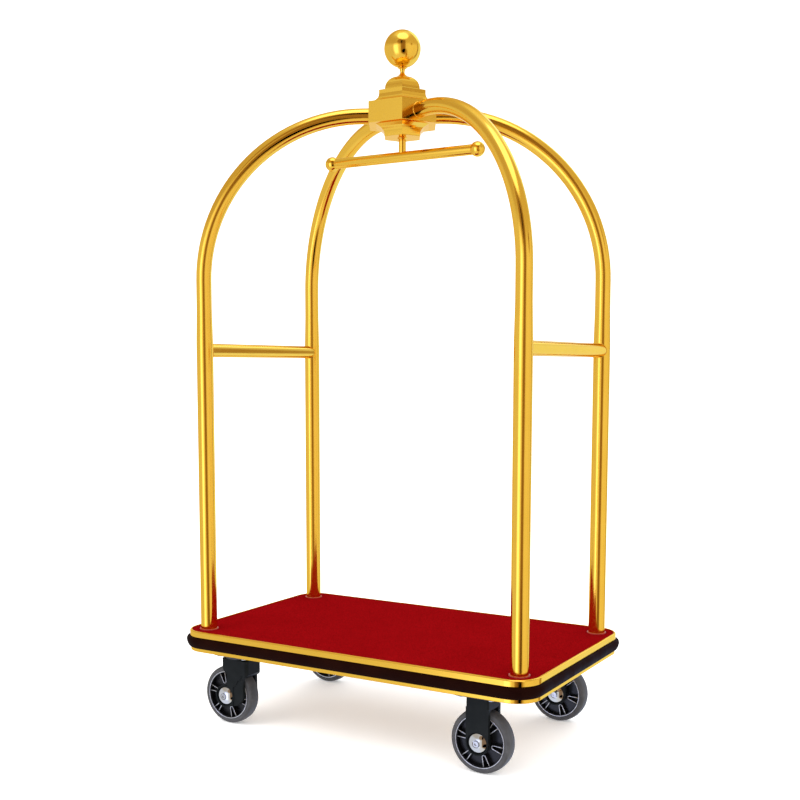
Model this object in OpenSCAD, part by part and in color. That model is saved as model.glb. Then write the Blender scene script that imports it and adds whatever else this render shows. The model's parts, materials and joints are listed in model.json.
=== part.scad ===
// Hotel luggage cart: a carpeted deck with a rubber bumper on four casters, four bent uprights
// that meet in a six-sided crown with a ball finial, and a garment rail hung below the crown.
// Millimetres. +Z is up, +X is the fixed-caster end, -Y is the long side nearest the viewer.
// The origin is on the floor, under the middle of the cart.

/* [Deck] */
// Length of the deck over its metal edge
deck_l = 1077; // [1050:1:1200]
// Width of the deck over its metal edge
deck_w = 641; // [620:1:760]
// Height of the carpet's pile above the floor
deck_top = 265; // [262:1:300]
// Outer radius of the deck's corners, on the metal edge
corner_r = 68; // [50:1:90]
// Thickness of the carpet
carpet_t = 5; // [3:1:8]
// Thickness of the plywood board
board_t = 18; // [15:1:21]

/* [Metal edge and bumper] */
// Height of the metal edge from the carpet down to its lower rim
edge_drop = 56.5; // [54:0.5:64]
// How far the edge's rolled rim stands above the carpet
rim_rise = 1.5; // [1:0.5:3]
// Width of the rolled rim that covers the carpet's edge
rim_w = 6; // [5.5:0.5:10]
// Depth below the carpet at which the bumper starts
bumper_top = 15.5; // [14:0.5:18]
// Height of the bumper
bumper_h = 31; // [26:0.5:32]
// How far the bumper stands out from the metal edge
bumper_out = 9.5; // [6:0.5:14]

/* [Uprights and crossbars] */
// Outside diameter of the bent upright tubes
tube_d = 42; // [38:1:45]
// Outside diameter of the uprights' legs, below the crossbars
leg_d = 46; // [46:1:50]
// Wall thickness of all the tubes
tube_wall = 1.5; // [1.2:0.1:2]
// Distance between the uprights along the cart
post_pitch_x = 966; // [940:1:980]
// Distance between the uprights across the cart
post_pitch_y = 519; // [500:1:530]
// Height above the carpet at which the uprights start to bend
bend_start = 976; // [860:1:1100]
// Radius of the bend, on the tube's centre line
bend_r = 440; // [400:1:460]
// Outside diameter of the crossbars
crossbar_d = 38; // [25:1:40]
// Height of the crossbars above the carpet
crossbar_z = 786; // [300:1:850]

/* [Crown and finial] */
// Corner radius of the crown's six-sided block
crown_r = 104; // [96:1:115]
// Height of the crown's block
crown_h = 53; // [48:1:60]
// Diameter of the finial's ball
ball_d = 99; // [70:1:106]
// Height of the finial's neck, from the crown to the ball
neck_h = 27; // [24:1:40]

/* [Garment rail] */
// Diameter of the garment rail
rail_d = 28; // [20:1:30]
// Distance between the middles of the rail's end balls
rail_l = 456; // [380:1:560]
// Drop from the middle of the arches down to the garment rail
rail_drop = 108; // [95:1:140]
// Diameter of the balls on the rail's ends
rail_ball_d = 40; // [34:1:46]
// Diameter of the stem that holds the rail
stem_d = 20; // [18:1:24]

/* [Casters] */
// Diameter of the wheels
wheel_d = 164; // [150:1:168]
// Width of the tyres
tyre_w = 40; // [36:1:42]
// Distance of the casters' plates from the middle of the cart, along it
caster_x = 380; // [340:1:400]
// Distance of the casters' plates from the middle of the cart, across it
caster_y = 246; // [236:1:250]
// Distance from a swivel caster's pivot back to its axle
trail = 33; // [25:1:38]
// Width of a fork over its two legs
fork_w = 70; // [66:1:74]

/* [Hidden] */
$fn = 96;
gap = 0.3;          // clearance between pieces that move past each other
fit = 0.05;         // radial clearance of a shaft in its bore

// Heights of the deck's layers
board_z = deck_top - carpet_t - board_t;
rail_sec = 30;      // side of the square frame tubes
sec_wall = 2;       // wall of the frame tubes
frame_z = board_z - rail_sec;
plate_t = 5;        // caster top plates and the mounting plates above them
mount_z = frame_z - plate_t;
caster_h = mount_z; // underside of the mounting plates, where the casters bolt on

// Deck edge section, measured outwards from the edge's outer face
edge_t = 3;         // thickness of the edge's metal
groove = 4;         // depth of the bumper's groove
board_in = groove + edge_t + 0.5;
carpet_in = edge_t + 0.2;
low_in = 2;         // how far the lower rim sits in from the upper band
rim_r = 4;          // outer radius of the rolled rim
nip = 1.5;          // depth that the rim and the collars press into the pile

// Countersunk screws that hold the board to the side rails
screw_r = 2.8;
screw_head_r = 6;
screw_head_h = 4;
screw_l = 24;
screw_pitch = 210;
frame_l = deck_l - 2 * (board_in + 20);

// Uprights
post_x = post_pitch_x / 2;
post_y = post_pitch_y / 2;
post_s = sqrt(post_x * post_x + post_y * post_y);
post_a = atan2(post_y, post_x);
bend_s = post_s - bend_r;
bend_z = deck_top + bend_start;
arch_z = bend_z + bend_r;
foot_z = deck_top - carpet_t;
tube_r = tube_d / 2;
leg_r = leg_d / 2;
leg_top = deck_top + crossbar_z + crossbar_d / 2 + 2;    // where the leg starts to narrow
leg_taper = 90;                                          // height over which it narrows
plug_h = 45;
stud_r = 6;         // M12 bolts, tie rod, kingpins and axles
head_r = 10;
head_h = 8;
washer_t = 2.5;
washer_r = 14;
collar_w = 3.5;     // carpet collar round each upright
collar_t = 2.5;

// Crown: corner radii and heights of its mouldings, from the middle of the arches
c30 = cos(30);
crown_wall = 4;
base_drop = 32;     // height of the moulding below the block
base_r = 55;        // its foot, the top of its cove, and the lip above that
base_mid_r = 69;
base_lip_r = 82;
cap_step_r = 72;    // the step above the block, and the height of its top
cap_step_h = 35;
cap_dome_r = 54;    // the dome: its foot, its flat top, its rise and the band below it
cap_top_r = 21;
cap_dome_h = 35;
cap_band_h = 5;
cap_h = cap_step_h + cap_band_h + cap_dome_h;   // the whole moulding above the block
rod_in = 22;        // how far the tie rod enters the stem
rod_up = 8;         // how far it enters the finial's neck
blk_lo = -crown_h / 2;
blk_hi = crown_h / 2;
crown_top = arch_z + blk_hi + cap_h;   // flat top of the dome, where the finial stands
ball_z = crown_top + neck_h - 2 + ball_d / 2;
spigot_r = 7;       // the neck's spigot, inside the ball

// Garment rail
rail_z = arch_z - rail_drop;
ball_bore = 12;     // depth that the rail goes into each end ball

// Casters
wheel_r = wheel_d / 2;
axle_z = wheel_r;
rim_or = wheel_r * 0.82;   // where the tyre meets the wheel's centre
leg_in = tyre_w / 2 + 4;    // inner face of a fork's leg
leg_out = fork_w / 2;
fork_top = caster_h - plate_t;
race_h = 12;                // height of the swivel race, between fork and plate
wheel_gap = 8;              // clearance round the tyre, inside the fork's crown
crown_cut = wheel_d + wheel_gap;
plate_w = 110;
bolt_pitch = 84;
bolt_r = 4;
nut_h = 6.5;
pin_head_r = 11;            // head of the kingpin, in a seat under the fork's crown
pin_head_h = 4;
boss_r = 28;
rib_turn = 48;              // angle of the first rib
bearing_r = 16;
bearing_w = 10;
lobe_r = 31;
cap_r = 26.5;
cap_sink = 4;               // depth of the seat that the axle cap sits in
cap_rise = 10;              // height of the axle cap's dome
race_r = 36;                // pitch radius of the swivel race's balls
race_ball_r = 3;
cup_h = 8;                  // depth of the cup over the race, and the wall above the balls
cup_wall = 3;
race_top = fork_top - cup_wall - 2 * race_ball_r - gap;   // where the balls run on the fork
bolt_head_r = 10;           // bore in the axle caps for the bolts' heads
CASTERS = [[1, -1], [1, 1], [-1, -1], [-1, 1]];
PATTERN = [[-1, -1], [-1, 1], [1, -1], [1, 1]];

GOLD = "goldenrod";
STEEL = "silver";
DARK = [0.13, 0.14, 0.15];

// ---------- helpers ----------

// Points of an arc round [cx, cy], from angle a0 to a1 in n steps
function arc(cx, cy, r, a0, a1, n = 6) =
    [for (i = [0:n]) let (a = a0 + (a1 - a0) * i / n) [cx + r * cos(a), cy + r * sin(a)]];

// A rectangle with round corners, hx by hy from its middle
module round_rect(hx, hy, r) {
    square([2 * (hx - r), 2 * hy], center = true);
    square([2 * hx, 2 * (hy - r)], center = true);
    for (sx = [-1, 1], sy = [-1, 1])
        translate([sx * (hx - r), sy * (hy - r)]) circle(r);
}

// Sweeps a section round the deck: its x runs outwards from the corner radius's centre
module deck_ring(r) {
    hx = deck_l / 2 - corner_r;
    hy = deck_w / 2 - corner_r;
    for (q = [0:3]) {
        cx = (q == 0 || q == 3 ? 1 : -1) * hx;
        cy = (q < 2 ? 1 : -1) * hy;
        translate([cx, cy, 0]) rotate([0, 0, 90 * q]) rotate_extrude(angle = 90) children();
        side = q % 2 == 0 ? hy : hx;
        rotate([0, 0, 90 * q]) translate([q % 2 == 0 ? hx : hy, side, 0])
            rotate([90, 0, 0]) linear_extrude(2 * side) children();
    }
}

// A six-sided moulding: section points are [distance from the axis to the face, height]
module hex_moulding(pts) {
    intersection() {
        hex_slab(pts, 30);
        hex_slab(pts, 90);
        hex_slab(pts, 150);
    }
}

module hex_slab(pts, a) {
    n = len(pts);
    rotate([0, 0, a]) rotate([90, 0, 0])
        linear_extrude(4 * crown_r, center = true)
            polygon(concat(pts, [for (i = [n - 1:-1:0]) [-pts[i][0], pts[i][1]]]));
}

// A cylinder along Y, between y0 and y1
module rod_y(r, y0, y1) {
    translate([0, y1, 0]) rotate([90, 0, 0]) cylinder(r = r, h = y1 - y0);
}

// Puts its children at the four caster plates, or at some of them
module at_casters(list) {
    for (c = list) translate([c[0] * caster_x, c[1] * caster_y, 0]) children();
}

// Puts its children at a wheel's centre: a rear wheel trails behind its pivot
module at_wheel(sx, sy) {
    translate([sx * caster_x - (sx < 0 ? trail : 0), sy * caster_y, axle_z]) children();
}

// Puts its children at the feet of the four uprights
module at_posts() {
    for (c = CASTERS) translate([c[0] * post_x, c[1] * post_y, 0]) children();
}

// ---------- deck ----------

module deck_board() {
    color("burlywood") difference() {
        translate([0, 0, board_z]) linear_extrude(board_t)
            round_rect(deck_l / 2 - board_in, deck_w / 2 - board_in, corner_r - board_in);
        at_posts() translate([0, 0, board_z - 1]) cylinder(r = stud_r + 0.5, h = board_t + 2);
        at_screws() {
            translate([0, 0, board_z - 1]) cylinder(r = screw_r + 0.2, h = board_t + 2);
            translate([0, 0, foot_z - screw_head_h])
                cylinder(r1 = screw_r + 0.2, r2 = screw_head_r + 0.2, h = screw_head_h);
        }
    }
}

// Two rows of screws, one over each side rail
module at_screws() {
    for (i = [-2:2], sy = [-1, 1]) translate([i * screw_pitch, sy * post_y, 0]) children();
}

// Countersunk screws that hold the board to the side rails
module deck_screws() {
    color(STEEL) at_screws() difference() {
        union() {
            translate([0, 0, foot_z - screw_l]) cylinder(r = screw_r, h = screw_l);
            translate([0, 0, foot_z - screw_head_h])
                cylinder(r1 = screw_r, r2 = screw_head_r, h = screw_head_h);
        }
        translate([0, 0, foot_z - screw_head_h / 2]) cylinder(r = 2, h = screw_head_h, $fn = 6);
    }
}

// The pile stands free inside the rim and round the collars, which press its edges down
module carpet() {
    free = rim_w + 0.1;
    color([0.6, 0.05, 0.07]) difference() {
        union() {
            translate([0, 0, foot_z]) linear_extrude(carpet_t - nip)
                round_rect(deck_l / 2 - carpet_in, deck_w / 2 - carpet_in, corner_r - carpet_in);
            translate([0, 0, foot_z]) linear_extrude(carpet_t)
                round_rect(deck_l / 2 - free, deck_w / 2 - free, corner_r - free);
        }
        at_posts() {
            translate([0, 0, foot_z - 1]) cylinder(r = leg_r + 0.2, h = carpet_t + 2);
            translate([0, 0, deck_top - nip]) cylinder(r = leg_r + collar_w + 0.1, h = carpet_t);
        }
    }
}

// The bent metal edge: a rolled rim over the carpet, a groove for the bumper, a lower rim
module edge_trim() {
    lo = bumper_top + bumper_h;
    section = concat(
        [[-rim_w, -nip]],
        arc(-rim_w + rim_rise / 2, rim_rise / 2, rim_rise / 2, 180, 90, 4),
        arc(-rim_r, rim_rise - rim_r, rim_r, 90, 0),
        [[0, -bumper_top + 1], [-1, -bumper_top], [-groove, -bumper_top], [-groove, -lo]],
        [[-low_in, -lo]],
        arc(-low_in - edge_t / 2, -edge_drop + edge_t / 2, edge_t / 2, 0, -180, 6),
        [[-low_in - edge_t, -lo - edge_t], [-groove - edge_t, -lo - edge_t]],
        [[-groove - edge_t, -bumper_top + edge_t], [-edge_t, -bumper_top + edge_t], [-edge_t, -nip]]
    );
    color(GOLD) translate([0, 0, deck_top]) deck_ring()
        translate([corner_r, 0]) polygon(section);
}

// A soft rubber strip, fullest in its upper third
module bumper_strip() {
    top = -bumper_top - 0.2;
    h = bumper_h - 0.4;
    n = 14;
    section = concat(
        [[-groove, top]],
        [for (i = [0:n]) let (t = i / n)
            [bumper_out * pow(sin(180 * pow(t, 0.66)), 0.6), top - h * t]],
        [[-groove, top - h]]
    );
    color([0.12, 0.07, 0.05]) translate([0, 0, deck_top]) deck_ring()
        translate([corner_r, 0]) polygon(section);
}

// ---------- underframe ----------

// Square tube, along X when dir is 0 and along Y when dir is 90
module box_tube(length, dir = 0) {
    rotate([0, 0, dir]) rotate([90, 0, 90]) linear_extrude(length, center = true) difference() {
        square(rail_sec, center = true);
        square(rail_sec - 2 * sec_wall, center = true);
    }
}

module frame_side_rails() {
    color([0.25, 0.25, 0.27]) difference() {
        for (sy = [-1, 1]) translate([0, sy * post_y, frame_z + rail_sec / 2]) box_tube(frame_l);
        at_posts() translate([0, 0, frame_z - 1]) cylinder(r = stud_r + 0.5, h = rail_sec + 2);
        at_screws() translate([0, 0, board_z - 2 * sec_wall])
            cylinder(r = screw_r + 0.1, h = 3 * sec_wall);
    }
}

module frame_cross_members() {
    color([0.25, 0.25, 0.27]) for (x = [-caster_x, 0, caster_x])
        translate([x, 0, frame_z + rail_sec / 2]) box_tube(post_pitch_y - rail_sec, 90);
}

module caster_mount_plates() {
    color([0.25, 0.25, 0.27]) at_casters(CASTERS) difference() {
        translate([0, 0, mount_z]) linear_extrude(plate_t)
            round_rect(plate_w / 2, plate_w / 2, 8);
        for (p = PATTERN) translate([p[0] * bolt_pitch / 2, p[1] * bolt_pitch / 2, mount_z - 1])
            cylinder(r = bolt_r + 0.3, h = plate_t + 2);
    }
}

// ---------- uprights ----------

// The upright's path swept with a circle: a leg, straight, bent inwards, straight into the
// crown. The leg's radius is low_r up to leg_top, and then narrows to r.
module upright_path(r, low_r, extra = 0) {
    end_s = crown_r * c30 - 15;
    translate([post_s, 0, foot_z - extra]) {
        cylinder(r = low_r, h = leg_top - foot_z + extra);
        translate([0, 0, leg_top - foot_z + extra]) cylinder(r1 = low_r, r2 = r, h = leg_taper);
        cylinder(r = r, h = bend_z - foot_z + extra);
    }
    translate([bend_s, 0, bend_z]) rotate([90, 0, 0]) {
        rotate_extrude(angle = 90) translate([bend_r, 0]) circle(r);
        translate([0, bend_r, 0]) rotate([0, -90, 0]) cylinder(r = r, h = bend_s - end_s + extra);
    }
}

// sx and sy are the signs of the corner that the upright stands at
module upright(sx, sy) {
    color(GOLD) rotate([0, 0, sy * (sx > 0 ? post_a : 180 - post_a)]) difference() {
        upright_path(tube_r, leg_r);
        upright_path(tube_r - tube_wall, leg_r - tube_wall, 1);
    }
}

// Threaded plugs welded inside the uprights' feet
module upright_plugs() {
    color(STEEL) at_posts() difference() {
        translate([0, 0, foot_z]) cylinder(r = leg_r - tube_wall - fit, h = plug_h);
        translate([0, 0, foot_z - 1]) cylinder(r = stud_r + fit, h = plug_h - 7);
    }
}

// Bolts from below, through the rail and the board into the plugs
module upright_bolts() {
    color(STEEL) at_posts() {
        translate([0, 0, frame_z - washer_t]) cylinder(r = stud_r, h = foot_z + 30 - frame_z + washer_t);
        translate([0, 0, frame_z - washer_t - head_h]) cylinder(r = head_r, h = head_h, $fn = 6);
    }
}

module upright_washers() {
    color(STEEL) at_posts() difference() {
        translate([0, 0, frame_z - washer_t]) cylinder(r = washer_r, h = washer_t);
        translate([0, 0, frame_z - washer_t - 1]) cylinder(r = stud_r + 0.2, h = washer_t + 2);
    }
}

// Thin flat collars that finish the carpet's holes round the uprights
module upright_collars() {
    color([0.75, 0.3, 0.25]) at_posts() difference() {
        translate([0, 0, deck_top - nip]) cylinder(r = leg_r + collar_w, h = collar_t);
        translate([0, 0, deck_top - nip - 1]) cylinder(r = leg_r + 0.1, h = collar_t + 2);
    }
}

// A tube between the two legs of one end, its ends cut to fit round them
module crossbar(sx) {
    color(GOLD) translate([sx * post_x, 0, deck_top + crossbar_z]) difference() {
        rod_y(crossbar_d / 2, -post_y, post_y);
        rod_y(crossbar_d / 2 - tube_wall, -post_y - 1, post_y + 1);
        for (sy = [-1, 1]) translate([0, sy * post_y, 0])
            cylinder(r = leg_r, h = 2 * crossbar_d, center = true);
    }
}

// ---------- crown, finial and garment rail ----------

module crown_bore(z0, z1) {
    translate([0, 0, z0]) cylinder(r = stud_r + 0.5, h = z1 - z0);
}

// The hollow six-sided box that the four arches are welded into
module crown_block() {
    color(GOLD) translate([0, 0, arch_z]) difference() {
        linear_extrude(crown_h, center = true) circle(crown_r, $fn = 6);
        linear_extrude(crown_h + 2, center = true)
            circle(crown_r - crown_wall / c30, $fn = 6);
        for (sx = [0, 180], a = [-post_a, post_a]) rotate([0, 0, sx + a])
            translate([crown_r / 2, 0, 0]) rotate([0, 90, 0])
                cylinder(r = tube_r + fit, h = crown_r);
    }
}

// Cove, step and dome above the block
module crown_cap() {
    lo = blk_hi;
    lip = 1.5;
    cove_h = cap_step_h - 12;
    step_hi = lo + cap_step_h;
    dome_lo = step_hi + cap_band_h;
    dome_a = acos(cap_top_r / cap_dome_r);
    dome_b = cap_dome_h / sin(dome_a);
    wall = 5;
    section = concat(
        [[0, lo], [crown_r * c30, lo], [crown_r * c30, lo + lip]],
        [for (i = [1:8]) let (a = 90 * i / 8)
            [(crown_r - (crown_r - cap_step_r) * sin(a)) * c30, lo + lip + cove_h * (1 - cos(a))]],
        [[cap_step_r * c30, step_hi - 1.5], [(cap_step_r - 1.5) * c30, step_hi]],
        [[cap_dome_r * c30, step_hi]],
        [for (i = [0:8]) let (a = dome_a * i / 8)
            [cap_dome_r * cos(a) * c30, dome_lo + dome_b * sin(a)]],
        [[0, lo + cap_h]]
    );
    top_in = lo + cap_h - 8;
    hollow = [[0, lo - 1], [(cap_step_r - wall) * c30 - 2, lo - 1],
        [(cap_step_r - wall) * c30 - 2, step_hi - 2 * wall], [(cap_dome_r - 2 * wall) * c30, step_hi - wall],
        [cap_top_r * c30, top_in], [0, top_in]];
    color(GOLD) translate([0, 0, arch_z]) difference() {
        hex_moulding(section);
        hex_moulding(hollow);
        crown_bore(0, crown_top - arch_z + 1);
    }
}

// Lid, lip and cove below the block, down to a small foot
module crown_base() {
    hi = blk_lo;
    lo = hi - base_drop;
    lip = 1.5;
    foot = 2;
    cove_hi = hi - 7.5;
    section = concat(
        [[0, lo], [base_r * c30, lo]],
        [for (i = [0:6]) let (a = 10 * i)
            [(base_r + (base_mid_r - base_r) * (1 - cos(a)) / (1 - cos(60))) * c30,
                lo + foot + (cove_hi - lo - foot) * sin(a) / sin(60)]],
        [[base_lip_r * c30, hi - lip], [(crown_r - 1) * c30, hi - lip], [crown_r * c30, hi - lip + 1],
            [crown_r * c30, hi], [0, hi]]
    );
    color(GOLD) translate([0, 0, arch_z]) difference() {
        hex_moulding(section);
        hex_moulding([[0, lo + 6], [(base_r - 10) * c30, lo + 6], [(base_mid_r - 11) * c30, cove_hi - 4],
            [(base_lip_r - 14) * c30, hi + 1], [0, hi + 1]]);
        crown_bore(lo - 1, 0);
    }
}

module crown_tie_rod() {
    z0 = arch_z + blk_lo - base_drop - rod_in;
    color(STEEL) translate([0, 0, z0]) cylinder(r = stud_r, h = crown_top + rod_up - z0);
}

// Turned neck: a flared foot, a waist, a collar under the ball and a spigot inside it
module finial_neck() {
    foot_r = cap_top_r * c30;
    waist_r = 6.2;
    collar_r = 12.5;
    waist_z = neck_h * 0.45;
    collar_z = neck_h - 3.5;
    section = concat(
        [[0, 0]],
        [for (i = [0:10]) let (t = i / 10)
            [waist_r + (foot_r - waist_r) * pow(1 - t, 1.7), waist_z * t]],
        [for (i = [1:6]) let (a = 90 * i / 6)
            [waist_r + (collar_r - waist_r - 1) * (1 - cos(a)), waist_z + (collar_z - waist_z) * sin(a)]],
        arc(collar_r - 1.5, collar_z + 1.5, 1.5, -60, 90, 5),
        [[spigot_r, collar_z + 3], [spigot_r, neck_h + 2], [0, neck_h + 2]]
    );
    color(GOLD) translate([0, 0, crown_top]) difference() {
        rotate_extrude() polygon(section);
        translate([0, 0, -1]) cylinder(r = stud_r + fit, h = rod_up + 1);
    }
}

// A hollow ball with a flat seat on the neck's collar
module finial_ball() {
    color(GOLD) difference() {
        translate([0, 0, ball_z]) sphere(ball_d / 2);
        translate([0, 0, ball_z]) sphere(ball_d / 2 - 2);
        translate([0, 0, crown_top]) cylinder(r = spigot_r + fit, h = neck_h + 6);
        translate([0, 0, crown_top]) cylinder(r = 2 * spigot_r, h = neck_h - 0.5);
    }
}

module hanger_stem() {
    top = arch_z + blk_lo - base_drop;
    color(GOLD) difference() {
        union() {
            translate([0, 0, rail_z]) cylinder(d = stem_d, h = top - rail_z);
            translate([0, 0, top - 4]) cylinder(r1 = stem_d / 2, r2 = stem_d / 2 + 4, h = 4);
        }
        translate([0, 0, top - rod_in - 1]) cylinder(r = stud_r + fit, h = rod_in + 2);
        translate([0, 0, rail_z]) rotate([0, 90, 0]) cylinder(d = rail_d, h = 4 * stem_d, center = true);
    }
}

module garment_rail() {
    len = rail_l - rail_ball_d + 2 * ball_bore;
    color(GOLD) translate([0, 0, rail_z]) rotate([0, 90, 0]) difference() {
        cylinder(d = rail_d, h = len, center = true);
        cylinder(d = rail_d - 2 * tube_wall, h = len + 2, center = true);
    }
}

module rail_end_balls() {
    color(GOLD) for (sx = [-1, 1]) translate([sx * rail_l / 2, 0, rail_z]) difference() {
        sphere(rail_ball_d / 2);
        rotate([0, -sx * 90, 0]) translate([0, 0, rail_ball_d / 2 - ball_bore])
            cylinder(r = rail_d / 2 + fit, h = rail_ball_d);
    }
}

// ---------- casters: plates and fasteners ----------

// A swivel plate carries a dished cup over the balls, and a fixed one is flat
module caster_top_plates() {
    color([0.2, 0.2, 0.22]) for (c = CASTERS) at_casters([c]) difference() {
        union() {
            translate([0, 0, fork_top]) linear_extrude(plate_t)
                round_rect(plate_w / 2, plate_w / 2, 8);
            if (c[0] < 0) translate([0, 0, fork_top - cup_h]) cylinder(r = race_r + 8, h = cup_h);
        }
        if (c[0] < 0) translate([0, 0, fork_top - cup_h - 1])
            cylinder(r = race_r + 4, h = cup_h + 1 - cup_wall);
        translate([0, 0, fork_top - cup_h - 1]) cylinder(r = stud_r + fit, h = plate_t + cup_h + 2);
        for (p = PATTERN) translate([p[0] * bolt_pitch / 2, p[1] * bolt_pitch / 2, fork_top - 1])
            cylinder(r = bolt_r + 0.3, h = plate_t + 2);
    }
}

module caster_bolts() {
    color(STEEL) at_casters(CASTERS) for (p = PATTERN)
        translate([p[0] * bolt_pitch / 2, p[1] * bolt_pitch / 2, fork_top]) {
            translate([0, 0, -4]) cylinder(r = 7, h = 4, $fn = 6);
            cylinder(r = bolt_r, h = 2 * plate_t + nut_h + 3);
        }
}

module caster_nuts() {
    color(STEEL) at_casters(CASTERS) for (p = PATTERN)
        translate([p[0] * bolt_pitch / 2, p[1] * bolt_pitch / 2, frame_z]) difference() {
            cylinder(r = 7, h = nut_h, $fn = 6);
            translate([0, 0, -1]) cylinder(r = bolt_r + fit, h = nut_h + 2);
        }
}

// One pin a caster: it ends flush with the plate, and its head is below the fork's crown
module kingpins() {
    color(STEEL) at_casters(CASTERS) {
        translate([0, 0, crown_cut - gap]) cylinder(r = stud_r, h = caster_h - crown_cut + gap);
        translate([0, 0, crown_cut - pin_head_h - gap]) cylinder(r = pin_head_r, h = pin_head_h);
    }
}

// ---------- casters: forks ----------

// Seats for the axle and its caps, bored through both legs at the wheel's centre
module axle_seats() {
    rod_y(stud_r + fit, -fork_w, fork_w);
    for (s = [0, 180]) rotate([0, 0, s]) rod_y(cap_r + 1.5, -fork_w, -leg_out + cap_sink);
}

// The space that the wheel turns in, with its centre at x, and the kingpin's hole and seat
module fork_cuts(x) {
    r = wheel_r + wheel_gap;
    translate([x, 0, axle_z]) {
        rod_y(r, -leg_in, leg_in);
        translate([-r, -leg_in, -wheel_d]) cube([2 * r, 2 * leg_in, wheel_d]);
        axle_seats();
    }
    cylinder(r = stud_r + fit, h = caster_h);
    translate([0, 0, axle_z]) cylinder(r = pin_head_r + 2, h = crown_cut - axle_z);
}

// A straight fork: a crown and two flat legs with round ends
module rigid_fork() {
    half = lobe_r;
    low = crown_cut - 14;
    difference() {
        union() {
            translate([0, 0, low]) linear_extrude(fork_top - low) round_rect(half, leg_out, 5);
            translate([0, leg_out, 0]) rotate([90, 0, 0]) linear_extrude(fork_w) {
                translate([-half, axle_z]) square([2 * half, crown_cut - axle_z]);
                translate([0, axle_z]) circle(half);
            }
        }
        fork_cuts(0);
    }
}

// A swivel fork: a boxed crown under the race, and legs that lead back to the axle.
// Drawn with its pivot on the Z axis and its wheel towards -X.
module swivel_fork() {
    top = fork_top - race_h;
    half = 45;
    low = axle_z + 58;
    bevel = 10;
    web_lo = -trail + 8;
    web_hi = 31;
    difference() {
        union() {
            intersection() {
                translate([0, 0, low]) linear_extrude(top - low) round_rect(half, leg_out, 12);
                translate([0, leg_out, 0]) rotate([90, 0, 0]) linear_extrude(fork_w)
                    polygon([[-half, top], [-half, low + bevel + 16], [-half + bevel, low + 16],
                        [web_lo, low + 6], [web_hi, low], [half - bevel, low], [half, low + bevel],
                        [half, top]]);
            }
            translate([0, 0, top - 1])
                cylinder(r = race_r + 3.5, h = race_top - top + 1);
            translate([0, leg_out, 0]) rotate([90, 0, 0]) linear_extrude(fork_w) {
                polygon(concat([[web_lo, top - 20], [web_hi, top - 20]],
                    arc(web_hi - 34, axle_z + 10, 34, 0, -78, 8),
                    [[-trail, axle_z - lobe_r], [-trail, axle_z], [web_lo, axle_z + 20]]));
                translate([-trail, axle_z]) circle(lobe_r);
            }
        }
        for (sy = [-1, 1]) fork_panel(sy, low);
        fork_cuts(-trail);
    }
}

// The shallow step in the outer face of a swivel fork's leg, ahead of the axle cap
module fork_panel(sy, low) {
    depth = 2;
    translate([0, sy * leg_out + depth, 0]) rotate([90, 0, 0]) linear_extrude(2 * depth)
        difference() {
            polygon([[50, low + 8], [28, low + 8], [22, low - 4], [14, low - 8], [8, low - 20],
                [-2, low - 27], [-4, low - 38], [-4, 40], [50, 40]]);
            translate([-trail, axle_z]) circle(lobe_r + 1);
        }
}

module race_balls(sy) {
    n = 20;
    color(STEEL) at_casters([[-1, sy]]) for (i = [0:n - 1]) rotate([0, 0, 360 * i / n])
        translate([race_r, 0, race_top + race_ball_r]) sphere(race_ball_r, $fn = 24);
}

// ---------- casters: axle pieces, drawn at the wheel's centre ----------

module axle_bolt() {
    y = leg_out + 2;
    difference() {
        union() {
            rod_y(stud_r, -y, y);
            for (s = [0, 180]) rotate([0, 0, s]) translate([0, -y, 0]) rotate([90, 0, 0])
                cylinder(r1 = 9, r2 = 7.5, h = 3.5);
        }
        for (s = [0, 180]) rotate([0, 0, s]) translate([0, -y - 1, 0]) rotate([90, 0, 0])
            cylinder(r = 4.4, h = 5, $fn = 6);
    }
}

// Polished domes that close both ends of the axle's seat
module axle_caps() {
    base = leg_out - cap_sink;
    dome_r = (cap_r * cap_r + cap_rise * cap_rise) / (2 * cap_rise);
    for (s = [0, 180]) rotate([0, 0, s]) difference() {
        intersection() {
            rod_y(cap_r, -base - cap_rise, -base);
            translate([0, -base - cap_rise + dome_r, 0]) sphere(dome_r);
        }
        rod_y(stud_r + fit, -base - 2 * cap_rise, 0);
        rod_y(bolt_head_r, -base - 2 * cap_rise, -leg_out - 2 + fit);
    }
}

module axle_spacers() {
    spacer_r = 10;
    for (s = [0, 180]) rotate([0, 0, s]) difference() {
        rod_y(spacer_r, -leg_in, -tyre_w / 2 - gap);
        rod_y(stud_r + fit, -fork_w, 0);
    }
}

// ---------- casters: wheels, drawn at the wheel's centre ----------

// A solid tyre with a slightly crowned tread and round shoulders
module tyre() {
    w = tyre_w / 2;
    sh = 8;
    section = concat(
        [[rim_or + 0.05, -w + 1], [rim_or + 1.5, -w], [wheel_r - sh - 1, -w]],
        arc(wheel_r - sh - 1, -w + sh, sh, -90, 0, 8),
        [[wheel_r - 0.4, -w / 3], [wheel_r, 0], [wheel_r - 0.4, w / 3]],
        arc(wheel_r - sh - 1, w - sh, sh, 0, 90, 8),
        [[rim_or + 1.5, w], [rim_or + 0.05, w - 1]]
    );
    rotate([90, 0, 0]) rotate_extrude() polygon(section);
}

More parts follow.
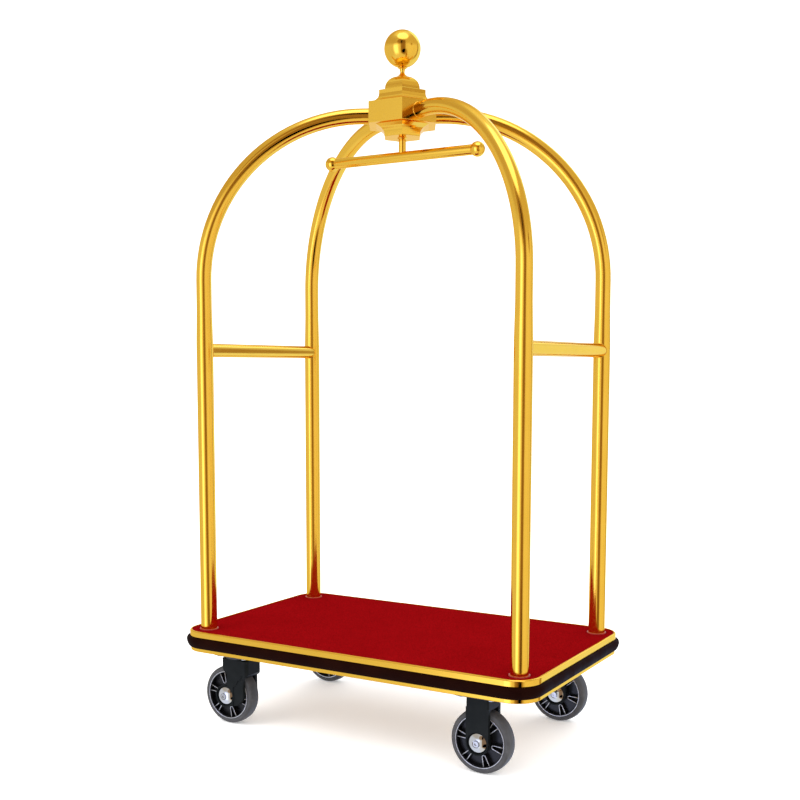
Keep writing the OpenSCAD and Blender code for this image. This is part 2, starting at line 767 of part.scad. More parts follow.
// Rim, web and boss, with six U-shaped ribs on each face of the web
module wheel_hub() {
    w = tyre_w / 2;
    rim_t = 4;
    web = 5;
    rotate([90, 0, 0]) difference() {
        union() {
            rotate_extrude() polygon([[bearing_r, -w], [boss_r - 2, -w], [boss_r, -w + 2], [boss_r, -web],
                [rim_or - rim_t, -web], [rim_or - rim_t, -w + 2], [rim_or - rim_t + 1, -w + 0.5],
                [rim_or, -w + 0.5], [rim_or, w - 0.5], [rim_or - rim_t + 1, w - 0.5],
                [rim_or - rim_t, w - 2], [rim_or - rim_t, web], [boss_r, web], [boss_r, w - 2],
                [boss_r - 2, w], [bearing_r, w]]);
            for (i = [0:5]) rotate([0, 0, 60 * i + rib_turn])
                linear_extrude(2 * w - 3, center = true) hub_rib();
        }
        cylinder(r = bearing_r - 2, h = 3 * w, center = true);
        for (s = [-1, 1]) translate([0, 0, s * (w - bearing_w / 2)])
            cylinder(r = bearing_r, h = bearing_w, center = true);
    }
}

// One U-shaped rib, its mouth at the rim
module hub_rib() {
    tip = boss_r + 11;
    mouth = rim_or - 2;
    difference() {
        union() {
            polygon([[tip, -5.4], [mouth, -9.4], [mouth, 9.4], [tip, 5.4]]);
            translate([tip, 0]) circle(5.5);
        }
        polygon([[tip, -3.6], [mouth + 1, -7.6], [mouth + 1, 7.6], [tip, 3.6]]);
        translate([tip, 0]) circle(3.7);
    }
}

// Two sealed ball bearings, pressed into the boss
module bearings() {
    for (s = [-1, 1]) difference() {
        rod_y(bearing_r, s * (tyre_w - bearing_w) / 2 - bearing_w / 2,
            s * (tyre_w - bearing_w) / 2 + bearing_w / 2);
        rod_y(stud_r + fit, -tyre_w, tyre_w);
    }
}

module rear_fork(sy) {
    color(DARK) translate([-caster_x, sy * caster_y, 0]) swivel_fork();
}

module front_fork(sy) {
    color(DARK) translate([caster_x, sy * caster_y, 0]) rigid_fork();
}

deck_board();
carpet();
edge_trim();
bumper_strip();
frame_side_rails();
frame_cross_members();
caster_mount_plates();
deck_screws();
upright(1, -1);  // upright_front_right
upright(1, 1);  // upright_front_left
upright(-1, -1);  // upright_rear_right
upright(-1, 1);  // upright_rear_left
upright_plugs();
upright_bolts();
upright_washers();
upright_collars();
crossbar(1);  // crossbar_front
crossbar(-1);  // crossbar_rear
crown_block();
crown_cap();
crown_base();
crown_tie_rod();
finial_neck();
finial_ball();
hanger_stem();
garment_rail();
rail_end_balls();
caster_top_plates();
caster_bolts();
caster_nuts();
kingpins();
front_fork(-1);  // rigid_fork_front_right
front_fork(1);  // rigid_fork_front_left
rear_fork(-1);  // swivel_fork_rear_right
rear_fork(1);  // swivel_fork_rear_left
race_balls(-1);  // race_balls_rear_right
race_balls(1);  // race_balls_rear_left
color(STEEL) for (sy = [-1, 1]) at_wheel(1, sy) axle_bolt();  // axle_bolts_front
color(STEEL) at_wheel(-1, -1) axle_bolt();  // axle_bolt_rear_right
color(STEEL) at_wheel(-1, 1) axle_bolt();  // axle_bolt_rear_left
color(STEEL) for (sy = [-1, 1]) at_wheel(1, sy) axle_caps();  // axle_caps_front
color(STEEL) at_wheel(-1, -1) axle_caps();  // axle_caps_rear_right
color(STEEL) at_wheel(-1, 1) axle_caps();  // axle_caps_rear_left
color(STEEL) for (sy = [-1, 1]) at_wheel(1, sy) axle_spacers();  // axle_spacers_front
color(STEEL) at_wheel(-1, -1) axle_spacers();  // axle_spacers_rear_right
color(STEEL) at_wheel(-1, 1) axle_spacers();  // axle_spacers_rear_left
color("dimgray") at_wheel(1, -1) tyre();  // tyre_front_right
color("dimgray") at_wheel(1, 1) tyre();  // tyre_front_left
color("dimgray") at_wheel(-1, -1) tyre();  // tyre_rear_right
color("dimgray") at_wheel(-1, 1) tyre();  // tyre_rear_left
color(DARK) at_wheel(1, -1) wheel_hub();  // wheel_hub_front_right
color(DARK) at_wheel(1, 1) wheel_hub();  // wheel_hub_front_left
color(DARK) at_wheel(-1, -1) wheel_hub();  // wheel_hub_rear_right
color(DARK) at_wheel(-1, 1) wheel_hub();  // wheel_hub_rear_left
color(STEEL) at_wheel(1, -1) bearings();  // bearings_front_right
color(STEEL) at_wheel(1, 1) bearings();  // bearings_front_left
color(STEEL) at_wheel(-1, -1) bearings();  // bearings_rear_right
color(STEEL) at_wheel(-1, 1) bearings();  // bearings_rear_left
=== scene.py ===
"""Looks for the hotel luggage cart: gold tubes and crown, red pile carpet, bumper, casters."""
import json
import math

import bmesh
import bpy
import numpy as np
from mathutils import Matrix, Vector


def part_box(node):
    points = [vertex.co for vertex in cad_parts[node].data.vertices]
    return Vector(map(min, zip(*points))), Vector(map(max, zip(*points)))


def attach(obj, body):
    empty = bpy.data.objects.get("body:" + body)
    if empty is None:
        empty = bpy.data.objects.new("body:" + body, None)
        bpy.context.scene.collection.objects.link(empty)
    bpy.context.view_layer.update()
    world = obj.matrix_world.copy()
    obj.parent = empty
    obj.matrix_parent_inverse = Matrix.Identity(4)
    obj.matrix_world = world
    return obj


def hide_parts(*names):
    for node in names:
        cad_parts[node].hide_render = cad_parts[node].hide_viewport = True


SEED = 7

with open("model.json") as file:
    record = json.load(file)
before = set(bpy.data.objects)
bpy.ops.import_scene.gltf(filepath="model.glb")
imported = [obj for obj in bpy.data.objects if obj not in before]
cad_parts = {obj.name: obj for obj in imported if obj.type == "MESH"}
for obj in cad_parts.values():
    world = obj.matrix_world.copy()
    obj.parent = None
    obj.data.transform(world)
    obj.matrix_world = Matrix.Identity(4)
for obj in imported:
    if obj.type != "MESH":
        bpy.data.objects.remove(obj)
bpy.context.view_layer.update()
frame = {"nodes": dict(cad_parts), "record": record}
NODES = frame["nodes"]
WHEELS = ("front_right", "front_left", "rear_right", "rear_left")

# The uprights: their tubes, their thicker legs, and how far their middles stand from the cart's
TUBE_R = 0.021
LEG_R = 0.023
POST_X, POST_Y = (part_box("upright_front_left")[1][i] - LEG_R for i in (0, 1))
HOLE_R = LEG_R + 0.0008

# Silver beads that paint highlights on the wheels' rim and rib edges, measured from a wheel's
# middle
RIM_R = 0.0664
RIM_FACE = 0.0196
RIM_BEAD = 0.0012
RIB_FACE = 0.0184
RIB_BEAD = 0.0011
RIB_COUNT = 6
RIB_TURN = 48

# A rib is a U: two arms from the end past a knee to a bend. Radii from the wheel's middle,
# and half the arms' distance at the end and at the knee.
RIB_END_R = 0.0640
RIB_KNEE_R = 0.052
RIB_BEND_R = 0.0385
RIB_BEND = 0.0046
RIB_END_HALF = 0.0086
RIB_KNEE_HALF = 0.0067

# The weld beads' own radii
CROSSBAR_BEAD = 0.0011
ARCH_BEAD = 0.0013

# The pile: its corners, how far apart tufts stand and wander, and how it rises from
# where the rim and the collars press it
CARPET_CORNER = 0.0648
TUFT_STEP = 0.0048
TUFT_WANDER = 0.0009
RIM_NIP = 0.0029
COLLAR_NIP = 0.0035
NIP_RISE = 0.004
PRESSED = 0.0017
PILE_RISE = 0.0013
PILE_UNEVEN = 0.0004
GLUE = 0.0001

# ---------- node helpers ----------

def feed(tree, plug, value):
    """Links a socket to the plug, or sets the plug to a plain value."""
    if isinstance(value, bpy.types.NodeSocket):
        tree.links.new(value, plug)
    else:
        plug.default_value = value


def math_node(tree, operation, a, b=0.0):
    made = tree.nodes.new("ShaderNodeMath")
    made.operation = operation
    feed(tree, made.inputs[0], a)
    feed(tree, made.inputs[1], b)
    return made.outputs["Value"]


class Shader:
    """A material with one Principled shader, and short calls for the nodes that feed it."""

    def __init__(self, name, color, roughness, metallic=0.0, **sockets):
        self.mat = bpy.data.materials.new(name)
        self.mat.use_nodes = True
        self.tree = self.mat.node_tree
        self.bsdf = self.tree.nodes["Principled BSDF"]
        self.set("Base Color", (*color, 1.0))
        self.set("Roughness", roughness)
        self.set("Metallic", metallic)
        for socket, value in sockets.items():
            self.set(socket.replace("_", " "), value)
        self.mat.diffuse_color = (*color, 1.0)
        self._where = None

    def set(self, socket, value):
        self.bsdf.inputs[socket].default_value = value

    def link(self, out, socket):
        self.tree.links.new(out, self.bsdf.inputs[socket])

    def node(self, kind, **inputs):
        made = self.tree.nodes.new(kind)
        for name, value in inputs.items():
            feed(self.tree, made.inputs[name.replace("_", " ")], value)
        return made

    def where(self, scale=(1, 1, 1)):
        """Object coordinates, which are the row frame's, stretched by scale."""
        if self._where is None:
            self._where = self.tree.nodes.new("ShaderNodeTexCoord").outputs["Object"]
        return self.node("ShaderNodeMapping", Vector=self._where, Scale=scale).outputs["Vector"]

    def noise(self, size, detail=4.0, rough=0.55, scale=(1, 1, 1)):
        """Noise whose features are about size metres across."""
        made = self.node("ShaderNodeTexNoise", Vector=self.where(scale), Scale=1 / size,
                         Detail=detail, Roughness=rough)
        return made.outputs["Fac"]

    def cells(self, size):
        """Cells about size metres across: the distance from each one's middle."""
        made = self.node("ShaderNodeTexVoronoi", Vector=self.where(), Scale=1 / size)
        return made.outputs["Distance"]

    def curve(self, value, low, high, out_low, out_high):
        """Maps value from low..high to out_low..out_high, held at the ends."""
        made = self.node("ShaderNodeMapRange", Value=value)
        for name, number in (("From Min", low), ("From Max", high),
                             ("To Min", out_low), ("To Max", out_high)):
            made.inputs[name].default_value = number
        return made.outputs["Result"]

    def math(self, operation, a, b=0.0):
        return math_node(self.tree, operation, a, b)

    def mix(self, factor, first, second):
        made = self.tree.nodes.new("ShaderNodeMix")
        made.data_type = "RGBA"
        for index, value in ((0, factor), (6, first), (7, second)):
            colour = isinstance(value, tuple)
            feed(self.tree, made.inputs[index], (*value, 1.0) if colour else value)
        return made.outputs[2]

    def bump(self, *layers):
        """Bumps the surface with (height, depth in metres) layers, one over another."""
        normal = None
        for height, depth in layers:
            made = self.node("ShaderNodeBump", Height=height, Strength=1.0, Distance=depth)
            if normal is not None:
                self.tree.links.new(normal, made.inputs["Normal"])
            normal = made.outputs["Normal"]
        self.link(normal, "Normal")


# ---------- materials ----------

def gold_plate():
    """Polished titanium-gold plate: soft smears and fine polishing marks."""
    s = Shader("gold_plate", (0.90, 0.52, 0.052), 0.10, 1.0, Coat_Weight=0.2, Coat_IOR=1.5,
               Coat_Roughness=0.05, Specular_Tint=(1.0, 0.84, 0.45, 1.0))
    smear = s.noise(0.09, 5.0, 0.6)
    marks = s.noise(0.0012, 2.0, 0.5, (1, 1, 0.06))
    s.link(s.mix(s.curve(smear, 0.35, 0.7, 0.0, 1.0), (0.91, 0.525, 0.055), (0.88, 0.50, 0.047)),
           "Base Color")
    rough = s.curve(smear, 0.35, 0.75, 0.10, 0.16)
    s.link(s.math("ADD", rough, s.curve(marks, 0.4, 0.8, 0.0, 0.05)), "Roughness")
    s.bump((s.noise(0.05, 1.0), 0.00010), (marks, 0.000004))
    return s.mat


def carpet_pile():
    """Deep red cut pile: each tuft a slightly different red, with painted shade darkening it
    towards the gaps between tufts.
    """
    s = Shader("carpet_pile", (0.21, 0.002, 0.003), 1.0, Specular_IOR_Level=0.0)
    tuft = s.cells(0.0021)
    fibre = s.noise(0.0006, 2.0)
    patch = s.noise(0.16, 3.0)
    red = s.mix(s.curve(patch, 0.3, 0.7, 0.0, 1.0),
                (0.235, 0.0024, 0.0042), (0.205, 0.0019, 0.0033))
    red = s.mix(s.curve(fibre, 0.35, 0.75, 0.0, 0.45), red, (0.28, 0.0034, 0.0040))
    # Painted shade: each tuft cell darkens towards its edges, in the low gaps between tufts
    red = s.mix(s.curve(tuft, 0.35, 0.8, 0.0, 0.7), red, (0.08, 0.0008, 0.001))
    s.link(red, "Base Color")
    s.bump((tuft, -0.0010), (fibre, 0.0004))
    return s.mat


def bumper_rubber():
    """Brown-black extruded rubber with a dull bloom and fine scuffs."""
    s = Shader("bumper_rubber", (0.007, 0.001, 0.0004), 0.6, Specular_IOR_Level=0.02)
    bloom = s.noise(0.05, 4.0)
    s.link(s.mix(s.curve(bloom, 0.35, 0.75, 0.0, 1.0),
                 (0.0062, 0.0008, 0.0003), (0.010, 0.0019, 0.0008)), "Base Color")
    s.link(s.curve(bloom, 0.3, 0.7, 0.5, 0.7), "Roughness")
    s.bump((s.noise(0.0008, 2.0), 0.00006), (s.noise(0.03, 2.0), 0.0003))
    return s.mat


def tyre_rubber():
    """Grey cast rubber, lighter and dustier in patches."""
    s = Shader("tyre_rubber", (0.045, 0.045, 0.048), 0.5, Specular_IOR_Level=0.2)
    dust = s.noise(0.018, 5.0, 0.65)
    s.link(s.mix(s.curve(dust, 0.4, 0.8, 0.0, 0.8), (0.048, 0.047, 0.050), (0.088, 0.086, 0.090)),
           "Base Color")
    s.link(s.curve(dust, 0.3, 0.7, 0.42, 0.66), "Roughness")
    s.bump((s.noise(0.0007, 2.0), 0.00005))
    return s.mat


def moulded_plastic(name, color, light, rough, shine):
    """Fine-grained moulded nylon with slight shine differences."""
    s = Shader(name, color, rough, Specular_IOR_Level=shine)
    flow = s.noise(0.025, 4.0)
    s.link(s.mix(s.curve(flow, 0.35, 0.75, 0.0, 1.0), color, light), "Base Color")
    s.link(s.curve(flow, 0.3, 0.7, rough - 0.06, rough + 0.08), "Roughness")
    s.bump((s.cells(0.0009), 0.00005))
    return s.mat


def polished_chrome():
    s = Shader("polished_chrome", (0.60, 0.60, 0.61), 0.06, 1.0)
    smear = s.noise(0.012, 4.0)
    s.link(s.curve(smear, 0.35, 0.75, 0.03, 0.14), "Roughness")
    s.bump((s.noise(0.02, 1.0), 0.00005))
    return s.mat


def painted_rim_highlight():
    """Bright silver that paints the highlights on the wheel's rim and rib edges, duller in places.
    """
    s = Shader("painted_rim_highlight", (0.62, 0.62, 0.64), 0.28, 1.0)
    rub = s.noise(0.008, 4.0)
    s.link(s.mix(s.curve(rub, 0.4, 0.8, 0.0, 1.0), (0.66, 0.66, 0.68), (0.36, 0.36, 0.37)),
           "Base Color")
    s.link(s.curve(rub, 0.3, 0.7, 0.22, 0.42), "Roughness")
    return s.mat


def zinc_steel():
    s = Shader("zinc_steel", (0.55, 0.56, 0.58), 0.32, 1.0)
    spangle = s.cells(0.004)
    s.link(s.mix(s.curve(spangle, 0.1, 0.8, 0.0, 1.0), (0.60, 0.60, 0.61), (0.47, 0.47, 0.46)),
           "Base Color")
    s.link(s.curve(s.noise(0.006, 3.0), 0.3, 0.7, 0.24, 0.42), "Roughness")
    return s.mat


def frame_paint():
    s = Shader("frame_paint", (0.02, 0.02, 0.021), 0.45)
    s.link(s.curve(s.noise(0.03, 4.0), 0.3, 0.7, 0.36, 0.55), "Roughness")
    s.bump((s.noise(0.0015, 3.0), 0.00012))
    return s.mat


def plywood():
    """Birch ply seen from below and at its edge: grain along X, ply lines in Z."""
    s = Shader("plywood", (0.45, 0.30, 0.16), 0.6)
    grain = s.noise(0.006, 6.0, 0.6, (0.05, 1, 1))
    plies = s.node("ShaderNodeTexWave", Vector=s.where((0.01, 0.01, 1)), Scale=75.0, Distortion=0.6)
    plies.bands_direction = "Z"
    wood = s.mix(s.curve(grain, 0.35, 0.7, 0.0, 1.0), (0.52, 0.36, 0.20), (0.34, 0.21, 0.11))
    s.link(s.mix(s.math("MULTIPLY", plies.outputs["Fac"], 0.25), wood, (0.22, 0.13, 0.07)),
           "Base Color")
    s.bump((grain, 0.0002))
    return s.mat


def collar_rubber():
    s = Shader("collar_rubber", (0.32, 0.035, 0.026), 0.4)
    s.link(s.curve(s.noise(0.01, 3.0), 0.3, 0.7, 0.38, 0.55), "Roughness")
    s.bump((s.noise(0.001, 2.0), 0.00004))
    return s.mat


MATERIALS = {
    "gold_plate": gold_plate(),
    "carpet": carpet_pile(),
    "bumper_rubber": bumper_rubber(),
    "plywood": plywood(),
    "frame_paint": frame_paint(),
    "collar_plastic": collar_rubber(),
    "fork_plastic": moulded_plastic("fork_nylon", (0.0045, 0.0058, 0.006), (0.008, 0.0095, 0.010),
                                    0.45, 0.09),
    "hub_plastic": moulded_plastic("hub_nylon", (0.003, 0.003, 0.0035), (0.007, 0.007, 0.008),
                                   0.30, 0.30),
    "tyre_rubber": tyre_rubber(),
    "chrome_cap": polished_chrome(),
    "zinc_steel": zinc_steel(),
}


def dress_cad():
    """Gives every CAD node the finish of its material slot."""
    for row in frame["record"]["subparts"]:
        mesh = NODES[row["node"]].data
        mesh.materials.clear()
        mesh.materials.append(MATERIALS[row["material_slot"]])


# ---------- detail pieces ----------

def add_piece(name, verts, faces, material, body):
    """Makes a mesh object from points in metres, and lets it ride on a body."""
    mesh = bpy.data.meshes.new(name)
    mesh.from_pydata([tuple(v) for v in verts], [], faces)
    mesh.validate()
    mesh.materials.append(material)
    mesh.polygons.foreach_set("use_smooth", [True] * len(mesh.polygons))
    piece = bpy.data.objects.new(name, mesh)
    bpy.context.scene.collection.objects.link(piece)
    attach(piece, body)
    return piece


def sweep(path, radius, closed=False, sides=10):
    """A round bead along a path: its points and faces."""
    path = np.asarray(path, float)
    count = len(path)
    if closed:
        tangent = np.roll(path, -1, 0) - np.roll(path, 1, 0)
    else:
        tangent = np.gradient(path, axis=0)
    tangent /= np.linalg.norm(tangent, axis=1)[:, None]
    normal = np.cross(tangent[0], (0.3, 0.2, 0.93))
    angles = np.arange(sides) * 2 * math.pi / sides
    rings = []
    for here, along in zip(path, tangent):
        normal = normal - along * normal.dot(along)
        normal /= np.linalg.norm(normal)
        side = np.cross(along, normal)
        spokes = np.cos(angles)[:, None] * normal + np.sin(angles)[:, None] * side
        rings.append(here + radius * spokes)
    verts = np.concatenate(rings)
    faces = []
    for i in range(count if closed else count - 1):
        a, b = i * sides, (i + 1) % count * sides
        faces += [(a + j, a + (j + 1) % sides, b + (j + 1) % sides, b + j) for j in range(sides)]
    if not closed:
        faces.append(tuple(range(sides))[::-1])
        faces.append(tuple((count - 1) * sides + j for j in range(sides)))
    return verts, faces


def join(parts):
    """Puts several (points, faces) pairs together."""
    verts, faces, start = [], [], 0
    for points, polys in parts:
        verts.append(points)
        faces += [tuple(i + start for i in poly) for poly in polys]
        start += len(points)
    return np.concatenate(verts), faces


def rim_highlight_beads():
    """Silver rings and U-shaped lines on both faces of each wheel: painted highlights along the
    hub's rim and rib edges.
    """
    # The silver beads below are painted highlights, not a real trim
    silver = painted_rim_highlight()
    turn = np.radians(np.arange(0, 360, 3.75))
    bend = np.radians(np.linspace(95, 265, 9))
    out = np.concatenate([[RIB_END_R, RIB_KNEE_R], RIB_BEND_R + RIB_BEND * np.cos(bend),
                          [RIB_KNEE_R, RIB_END_R]])
    aside = np.concatenate([[RIB_END_HALF, RIB_KNEE_HALF], RIB_BEND * np.sin(bend),
                            [-RIB_KNEE_HALF, -RIB_END_HALF]])
    for wheel in WHEELS:
        low, high = (Vector(c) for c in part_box("tyre_" + wheel))
        centre = (low + high) / 2

        def on_face(x, z, face):
            return np.stack([centre.x + x, np.full_like(x, centre.y + face), centre.z + z], 1)

        parts = []
        for side in (-1, 1):
            ring = on_face(RIM_R * np.cos(turn), RIM_R * np.sin(turn), side * RIM_FACE)
            parts.append(sweep(ring, RIM_BEAD, closed=True))
            for k in range(RIB_COUNT):
                a = math.radians(360 / RIB_COUNT * k + RIB_TURN)
                rib = on_face(out * math.cos(a) - aside * math.sin(a),
                              out * math.sin(a) + aside * math.cos(a), side * RIB_FACE)
                parts.append(sweep(rib, RIB_BEAD))
        verts, faces = join(parts)
        add_piece("rim_highlight_bead_" + wheel, verts, faces, silver, "wheel_" + wheel)


def weld_beads():
    """Polished fillet beads where the crossbars meet the uprights and the arches meet the crown."""
    gold = MATERIALS["gold_plate"]
    turn = np.radians(np.arange(0, 360, 7.5))
    parts = []
    for end in ("front", "rear"):
        low, high = (Vector(c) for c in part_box("crossbar_" + end))
        x, z, bar_r = (low.x + high.x) / 2, (low.z + high.z) / 2, (high.z - low.z) / 2
        for side in (-1, 1):
            post_y = side * POST_Y
            bead = np.stack([x + bar_r * np.cos(turn),
                             post_y - side * np.sqrt(LEG_R ** 2 - (bar_r * np.cos(turn)) ** 2),
                             z + bar_r * np.sin(turn)], 1)
            parts.append(sweep(bead, CROSSBAR_BEAD, closed=True, sides=8))
    low, high = (Vector(c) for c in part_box("crown_block"))
    arch_z, face = (low.z + high.z) / 2, high.y
    slant = math.atan2(POST_Y, POST_X)
    for sx in (-1, 1):
        for sy in (-1, 1):
            along = Vector((sx * math.cos(slant), sy * math.sin(slant), 0))
            across = Vector((-along.y, along.x, 0))
            flat = Vector((sx * math.cos(math.radians(30)), sy * math.sin(math.radians(30)), 0))
            bead = []
            for t in turn:
                off = across * (TUBE_R * math.cos(t))
                reach = (face - off.dot(flat)) / along.dot(flat)
                bead.append(along * reach + off + Vector((0, 0, arch_z + TUBE_R * math.sin(t))))
            parts.append(sweep([tuple(b) for b in bead], ARCH_BEAD, closed=True, sides=8))
    verts, faces = join(parts)
    add_piece("weld_beads", verts, faces, gold, "root")


def inset_from_edge(x, y, hx, hy, radius):
    """How far a point lies inside a rectangle with round corners."""
    qx, qy = np.abs(x) - (hx - radius), np.abs(y) - (hy - radius)
    outside = np.hypot(np.maximum(qx, 0), np.maximum(qy, 0))
    return radius - outside - np.minimum(np.maximum(qx, qy), 0)


def pile_carpet():
    """The cut pile: rows of tufts, pressed down under the rim and round the collars."""
    rng = np.random.default_rng(SEED)
    low, high = (np.array(c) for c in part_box("carpet"))
    hx, hy, corner = high[0], high[1], CARPET_CORNER
    nx, ny = int(2 * hx / TUFT_STEP), int(2 * hy / TUFT_STEP)
    gx, gy = np.meshgrid(np.linspace(-hx, hx, nx + 1), np.linspace(-hy, hy, ny + 1), indexing="ij")
    inset = inset_from_edge(gx, gy, hx, hy, corner)
    x = gx + rng.uniform(-1, 1, gx.shape) * TUFT_WANDER * (inset > TUFT_STEP)
    y = gy + rng.uniform(-1, 1, gx.shape) * TUFT_WANDER * (inset > TUFT_STEP)
    # Points outside the round corners move in onto them
    mid_x, mid_y = np.sign(gx) * (hx - corner), np.sign(gy) * (hy - corner)
    out = inset < 0
    reach = np.hypot(gx - mid_x, gy - mid_y)
    x = np.where(out, mid_x + (gx - mid_x) * corner / np.maximum(reach, corner), x)
    y = np.where(out, mid_y + (gy - mid_y) * corner / np.maximum(reach, corner), y)
    keep = np.ones(gx.shape, bool)
    nearest = np.full(gx.shape, 1.0)
    for sx in (-1, 1):
        for sy in (-1, 1):
            px, py = sx * POST_X, sy * POST_Y
            dist = np.hypot(x - px, y - py)
            near = np.abs(dist - HOLE_R) < TUFT_STEP * 0.75
            x = np.where(near, px + (x - px) * HOLE_R / dist, x)
            y = np.where(near, py + (y - py) * HOLE_R / dist, y)
            keep &= (dist > HOLE_R) | near
            nearest = np.minimum(nearest, np.hypot(x - px, y - py) - HOLE_R)
    inset = inset_from_edge(x, y, hx, hy, corner)
    free = (np.clip((inset - RIM_NIP) / NIP_RISE, 0, 1)
            * np.clip((nearest - COLLAR_NIP) / NIP_RISE, 0, 1))
    free = free * free * (3 - 2 * free)
    uneven = rng.uniform(-1, 1, gx.shape) * PILE_UNEVEN
    height = high[2] - PRESSED + free * (PILE_RISE + uneven)
    index = np.full(gx.shape, -1)
    count = int(keep.sum())
    index[keep] = np.arange(count)
    top = np.stack([x[keep], y[keep], height[keep]], 1)
    bottom = np.stack([x[keep], y[keep], np.full(count, low[2] + GLUE)], 1)
    faces, edges = [], {}
    for i in range(nx):
        for j in range(ny):
            quad = (index[i, j], index[i + 1, j], index[i + 1, j + 1], index[i, j + 1])
            if min(quad) < 0:
                continue
            faces.append(quad)
            faces.append(tuple(q + count for q in quad[::-1]))
            for a, b in zip(quad, quad[1:] + quad[:1]):
                if (b, a) in edges:
                    del edges[b, a]
                else:
                    edges[a, b] = True
    faces += [(b, a, a + count, b + count) for a, b in edges]
    faces = [tuple(int(i) for i in face) for face in faces]
    piece = add_piece("carpet_pile", np.concatenate([top, bottom]), faces,
                      MATERIALS["carpet"], "root")
    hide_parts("carpet")


# ---------- stage ----------

CAMERA_AT = Vector((1.5947, -2.7172, 1.0082))
CAMERA_YAW = math.radians(30.50)
CAMERA_PITCH = math.radians(5.74)
CAMERA_ROLL = math.radians(0.08)
CAMERA_LENS = 51.02
CAMERA_SHIFT = 0.10


def make_camera():
    data = bpy.data.cameras.new("camera")
    data.lens = CAMERA_LENS
    data.sensor_width = 36.0
    data.shift_y = CAMERA_SHIFT
    camera = bpy.data.objects.new("camera", data)
    bpy.context.scene.collection.objects.link(camera)
    turn = (Matrix.Rotation(CAMERA_YAW, 4, "Z")
            @ Matrix.Rotation(math.radians(90) - CAMERA_PITCH, 4, "X")
            @ Matrix.Rotation(CAMERA_ROLL, 4, "Z"))
    camera.matrix_world = Matrix.Translation(CAMERA_AT) @ turn
    bpy.context.scene.camera = camera


def make_floor():
    mesh = bpy.data.meshes.new("floor")
    bm = bmesh.new()
    bmesh.ops.create_circle(bm, cap_ends=True, segments=96, radius=30.0)
    bm.to_mesh(mesh)
    bm.free()
    floor = bpy.data.objects.new("floor", mesh)
    bpy.context.scene.collection.objects.link(floor)
    s = Shader("floor_paint", (0.96, 0.96, 0.96), 0.7, Specular_IOR_Level=0.0,
               Emission_Color=(1.0, 1.0, 1.0, 1.0), Emission_Strength=0.22)
    s.link(s.curve(s.noise(0.4, 3.0), 0.3, 0.7, 0.65, 0.75), "Roughness")
    mesh.materials.append(s.mat)
    floor.visible_glossy = False


# Softboxes and dark gaps round the horizon that mirrors see, as (degrees right of the
# camera, half width, soft edge, level to add, height where it ends)
BANDS = [
    (-42, 9, 10, 0.98, 0.38), (4, 10, 9, -0.62, 0.80), (50, 12, 10, 0.05, 0.60),
    (112, 3, 4, -0.52, 0.50), (138, 14, 8, 0.05, 0.60), (-100, 45, 20, -0.12, 0.90),
]

# Round ones, as (degrees right of the camera, degrees up, half width, soft edge, level to add)
SPOTS = [
    (-18, 30, 11, 7, -0.33), (15, -30, 13, 8, -0.40), (5, 70, 21, 7, 1.30), (146, 38, 12, 8, 0.75),
    (59, 17, 4, 3, -0.50),
]


# What mirrors see of the walls, and the heights (Z of a direction) over which it changes
WALL_LEVEL = 0.95
BAND_FADE = 0.28
BAND_FOOT = (-0.75, -0.45)
UPPER_WALL = (0.22, 0.45, 1.0, 0.76)
CEILING = (0.80, 0.95, 0.0, 0.30)
ROOM_LIGHT = 1.6


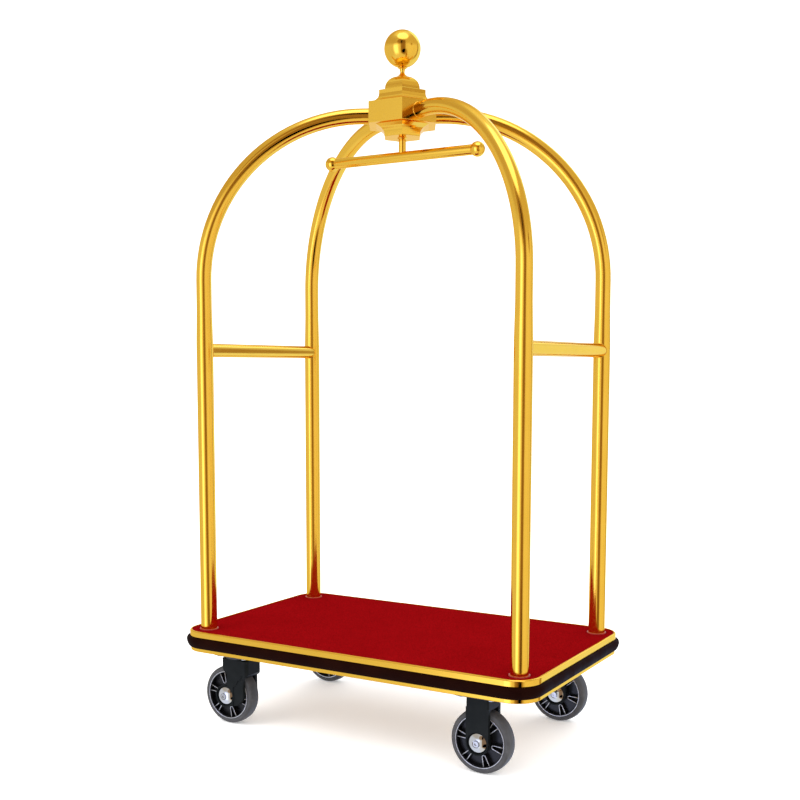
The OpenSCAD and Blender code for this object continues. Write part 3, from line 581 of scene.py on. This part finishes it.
def make_world():
    """A plain white room. Mirrors see its softboxes, the gaps between, and a darker ceiling."""
    world = bpy.data.worlds.new("studio")
    bpy.context.scene.world = world
    world.use_nodes = True
    tree = world.node_tree
    tree.nodes.clear()
    new, link = tree.nodes.new, tree.links.new

    def calc(operation, a, b=0.0):
        return math_node(tree, operation, a, b)

    def ramp(value, start, stop, low, high):
        made = new("ShaderNodeMapRange")
        made.interpolation_type = "SMOOTHSTEP"
        link(value, made.inputs["Value"])
        for name, number in (("From Min", start), ("From Max", stop),
                             ("To Min", low), ("To Max", high)):
            made.inputs[name].default_value = number
        return made.outputs["Result"]

    def vector(operation, a, b):
        made = new("ShaderNodeVectorMath")
        made.operation = operation
        link(a, made.inputs[0])
        if b is not None:
            made.inputs[1].default_value = b
        return made

    def towards(degrees, up=0.0):
        """The direction that lies degrees right of the camera, and up degrees above level."""
        a, b = CAMERA_YAW - math.pi / 2 + math.radians(degrees), math.radians(up)
        return (math.cos(a) * math.cos(b), math.sin(a) * math.cos(b), math.sin(b))

    def cap(source, at, half, soft):
        """1 within half degrees of a direction, down to 0 over soft degrees more."""
        near = vector("DOT_PRODUCT", source, at).outputs["Value"]
        edge, full = math.cos(math.radians(half + soft)), math.cos(math.radians(half))
        return ramp(near, edge, full, 0.0, 1.0)

    coords = new("ShaderNodeTexCoord").outputs["Generated"]
    flat = vector("MULTIPLY", coords, (1, 1, 0)).outputs["Vector"]
    flat = vector("NORMALIZE", flat, None).outputs["Vector"]
    split = new("ShaderNodeSeparateXYZ")
    link(coords, split.inputs[0])
    height = split.outputs["Z"]

    value = WALL_LEVEL
    for centre, half, soft, amount, top in BANDS:
        band = calc("MULTIPLY", cap(flat, towards(centre), half, soft), amount)
        band = calc("MULTIPLY", band, ramp(height, top - BAND_FADE, top, 1.0, 0.0))
        band = calc("MULTIPLY", band, ramp(height, *BAND_FOOT, 0.0, 1.0))
        value = calc("ADD", band, value)
    value = calc("MULTIPLY", value, ramp(height, *UPPER_WALL))
    value = calc("ADD", ramp(height, *CEILING), value)
    for right, up, half, soft, amount in SPOTS:
        spot = calc("MULTIPLY", cap(coords, towards(right, up), half, soft), amount)
        value = calc("ADD", spot, value)

    # Dark gaps are warm, and the walls on the left and behind on the right are cooler
    tint = new("ShaderNodeValToRGB")
    link(calc("MULTIPLY", value, 0.5), tint.inputs["Fac"])
    stops = tint.color_ramp.elements
    stops[0].position, stops[0].color = 0.17, (1.0, 0.62, 0.35, 1.0)
    stops[1].position, stops[1].color = 1.0, (1.0, 1.03, 1.35, 1.0)
    for position, color in ((0.28, (1.0, 0.78, 0.50, 1.0)), (0.38, (1.0, 0.94, 0.80, 1.0)),
                            (0.48, (1.0, 1.0, 0.98, 1.0))):
        stops.new(position).color = color
    plain = new("ShaderNodeBackground")
    plain.inputs["Strength"].default_value = ROOM_LIGHT
    plain.inputs["Color"].default_value = (1.0, 1.0, 1.0, 1.0)
    wall = new("ShaderNodeMix")
    wall.data_type = "RGBA"
    left = calc("MULTIPLY", cap(flat, towards(-85), 42, 15), 0.35)
    link(calc("ADD", cap(flat, towards(138), 18, 12), left), wall.inputs[0])
    wall.inputs[6].default_value = (1.0, 1.0, 1.0, 1.0)
    wall.inputs[7].default_value = (1.0, 1.20, 1.70, 1.0)
    color = new("ShaderNodeVectorMath")
    color.operation = "MULTIPLY"
    link(tint.outputs["Color"], color.inputs[0])
    link(wall.outputs[2], color.inputs[1])
    seen = new("ShaderNodeBackground")
    link(value, seen.inputs["Strength"])
    link(color.outputs["Vector"], seen.inputs["Color"])
    choose = new("ShaderNodeMixShader")
    link(new("ShaderNodeLightPath").outputs["Is Glossy Ray"], choose.inputs[0])
    link(plain.outputs[0], choose.inputs[1])
    link(seen.outputs[0], choose.inputs[2])
    link(choose.outputs[0], new("ShaderNodeOutputWorld").inputs["Surface"])


def make_light(name, at, look_at, size, power):
    data = bpy.data.lights.new(name, "AREA")
    data.shape = "RECTANGLE"
    data.size, data.size_y = size
    data.energy = power
    light = bpy.data.objects.new(name, data)
    bpy.context.scene.collection.objects.link(light)
    light.location = at
    light.rotation_euler = (Vector(look_at) - Vector(at)).to_track_quat("-Z", "Y").to_euler()
    light.visible_glossy = False


def make_lights():
    middle = (0, 0, 0.8)
    make_light("key", (-2.2, -3.2, 3.4), middle, (2.6, 2.6), 70.0)
    make_light("fill", (3.4, -1.6, 2.2), middle, (2.0, 2.4), 25.0)
    make_light("back", (0.5, 3.4, 2.6), middle, (3.0, 2.0), 30.0)


make_camera()
make_world()
make_lights()
make_floor()
dress_cad()
rim_highlight_beads()
weld_beads()
pile_carpet()

bpy.context.scene.view_settings.view_transform = "Standard"
